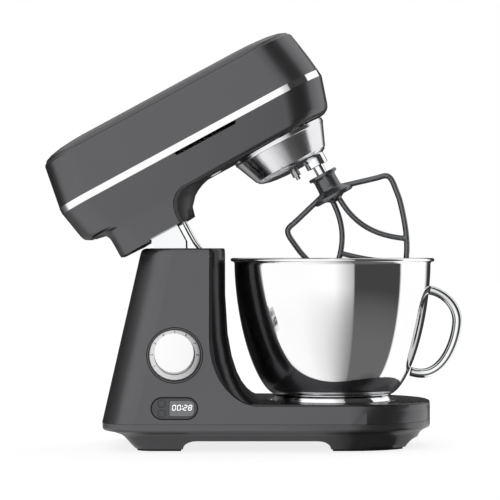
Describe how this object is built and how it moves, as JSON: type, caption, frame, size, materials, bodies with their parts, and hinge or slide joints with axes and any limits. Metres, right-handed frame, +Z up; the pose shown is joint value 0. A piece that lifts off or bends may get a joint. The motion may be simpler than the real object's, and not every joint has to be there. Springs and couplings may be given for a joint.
{
  "type": "stand mixer",
  "caption": "Tilt-head stand mixer with open head, flat beater, planetary hub, steel bowl with handle, side speed knob and timer display.",
  "frame": {"origin": "Bottom centre of the bounding box of the mixer standing on its feet with the head open, on the mid-plane of the mixer", "axes": "+Z up; +X from the column towards the bowl and its handle; -Y is the side with the knob and the display; -Z rests on the table"},
  "size_m": [0.456, 0.224, 0.4517],
  "materials": {
    "body_grey": "satin",
    "skirt_grey": "satin",
    "front_grey": "satin",
    "trim_steel": "brushed",
    "bowl_steel": "polished",
    "bright_steel": "polished",
    "hub_steel": "brushed",
    "beater_coat": "non-stick coating, satin",
    "seat_steel": "brushed",
    "rubber_black": "matte",
    "plastic_black": "matte",
    "plastic_dark": "satin",
    "screen_grey": "gloss",
    "button_dark": "satin",
    "knob_metal": "spun",
    "board_green": "solder mask",
    "frame_steel": "zinc plated",
    "gear_steel": "machined",
    "case_alu": "as cast",
    "copper": "enamelled windings",
    "lens": "opal"
  },
  "bodies": {
    "stand": {"base_housing": "body_grey", "front_panel": "front_grey", "base_cover": "skirt_grey", "foot_pads": "rubber_black", "bowl_seat": "seat_steel", "cord_gland": "rubber_black", "column_frame": "frame_steel", "hinge_pin": "bright_steel", "dial_ring": "knob_metal", "speed_encoder": "plastic_black", "display_bezel": "plastic_dark", "display_window": "screen_grey", "control_board": "board_green", "power_board": "board_green"},
    "knob": {"speed_knob": "knob_metal"},
    "timer_key": {"timer_button": "button_dark"},
    "reset_key": {"reset_button": "button_dark"},
    "release": {"release_button": "plastic_black", "latch_slider": "frame_steel"},
    "head": {"head_lower_housing": "body_grey", "underside_panel": "front_grey", "trim_band": "trim_steel", "head_top_cover": "body_grey", "top_panel": "body_grey", "head_chassis": "case_alu", "hinge_arms": "bright_steel", "tilt_bail": "bright_steel", "gear_case": "case_alu", "ring_gear": "gear_steel", "shaft_bearings": "gear_steel", "motor_body": "frame_steel", "drive_belt": "rubber_black", "work_light": "lens", "hub_socket": "case_alu", "chassis_screws": "frame_steel", "rest_buffers": "rubber_black"},
    "hub_cap": {"hub_cover": "body_grey"},
    "motor": {"motor_rotor": "copper"},
    "planetary": {"planet_hub": "hub_steel", "main_shaft": "gear_steel", "driven_pulley": "plastic_black", "shaft_collar": "bright_steel"},
    "tool": {"tool_shaft": "bright_steel", "tool_pinion": "gear_steel"},
    "beater": {"flat_beater": "beater_coat"},
    "bowl": {"bowl": "bowl_steel", "bowl_foot": "bowl_steel", "bowl_handle": "bright_steel"}
  },
  "joints": [
    {"name": "head_tilt", "type": "hinge", "parent": "stand", "child": "head", "pos_m": [-0.1135, 0, 0.1738], "axis": [0, 1, 0], "range_deg": [0, 28.4]},
    {"name": "planet_spin", "type": "hinge", "parent": "head", "child": "planetary", "pos_m": [0.02064, 0, 0.34432], "axis": [-0.4756, 0, 0.8796], "continuous": true},
    {"name": "tool_spin", "type": "hinge", "parent": "planetary", "child": "tool", "pos_m": [0.04281, 0, 0.35631], "axis": [-0.4756, 0, 0.8796], "continuous": true},
    {"name": "motor_spin", "type": "hinge", "parent": "head", "child": "motor", "pos_m": [-0.13262, 0, 0.29556], "axis": [-0.4756, 0, 0.8796], "continuous": true},
    {"name": "beater_push", "type": "slide", "parent": "tool", "child": "beater", "axis": [-0.4756, 0, 0.8796], "range_m": [0, 0.007], "stiffness_N_per_m": 400, "springref_m": -0.012},
    {"name": "hub_cover_pull", "type": "slide", "parent": "head", "child": "hub_cap", "axis": [0.8796, 0, 0.4756], "range_m": [0, 0.03]},
    {"name": "speed_turn", "type": "hinge", "parent": "stand", "child": "knob", "pos_m": [-0.085, -0.08337, 0.1026], "axis": [0, -0.9828, 0.1845], "range_deg": [0, 270]},
    {"name": "timer_press", "type": "slide", "parent": "stand", "child": "timer_key", "axis": [0, 0.9828, -0.1845], "range_m": [0, 0.0008], "stiffness_N_per_m": 900, "springref_m": -0.0012},
    {"name": "reset_press", "type": "slide", "parent": "stand", "child": "reset_key", "axis": [0, 0.9828, -0.1845], "range_m": [0, 0.0008], "stiffness_N_per_m": 900, "springref_m": -0.0012},
    {"name": "release_press", "type": "slide", "parent": "stand", "child": "release", "axis": [0, -0.9828, -0.1845], "range_m": [0, 0.004], "stiffness_N_per_m": 800, "springref_m": -0.003},
    {"name": "bowl_twist", "type": "hinge", "parent": "stand", "child": "bowl", "pos_m": [0.0856, 0, 0.05], "axis": [0, 0, 1], "range_deg": [0, 25]}
  ],
  "couplings": [
    {"joint": "tool_spin", "follows": "planet_spin", "ratio": -3.8},
    {"joint": "motor_spin", "follows": "planet_spin", "ratio": 5}
  ]
}
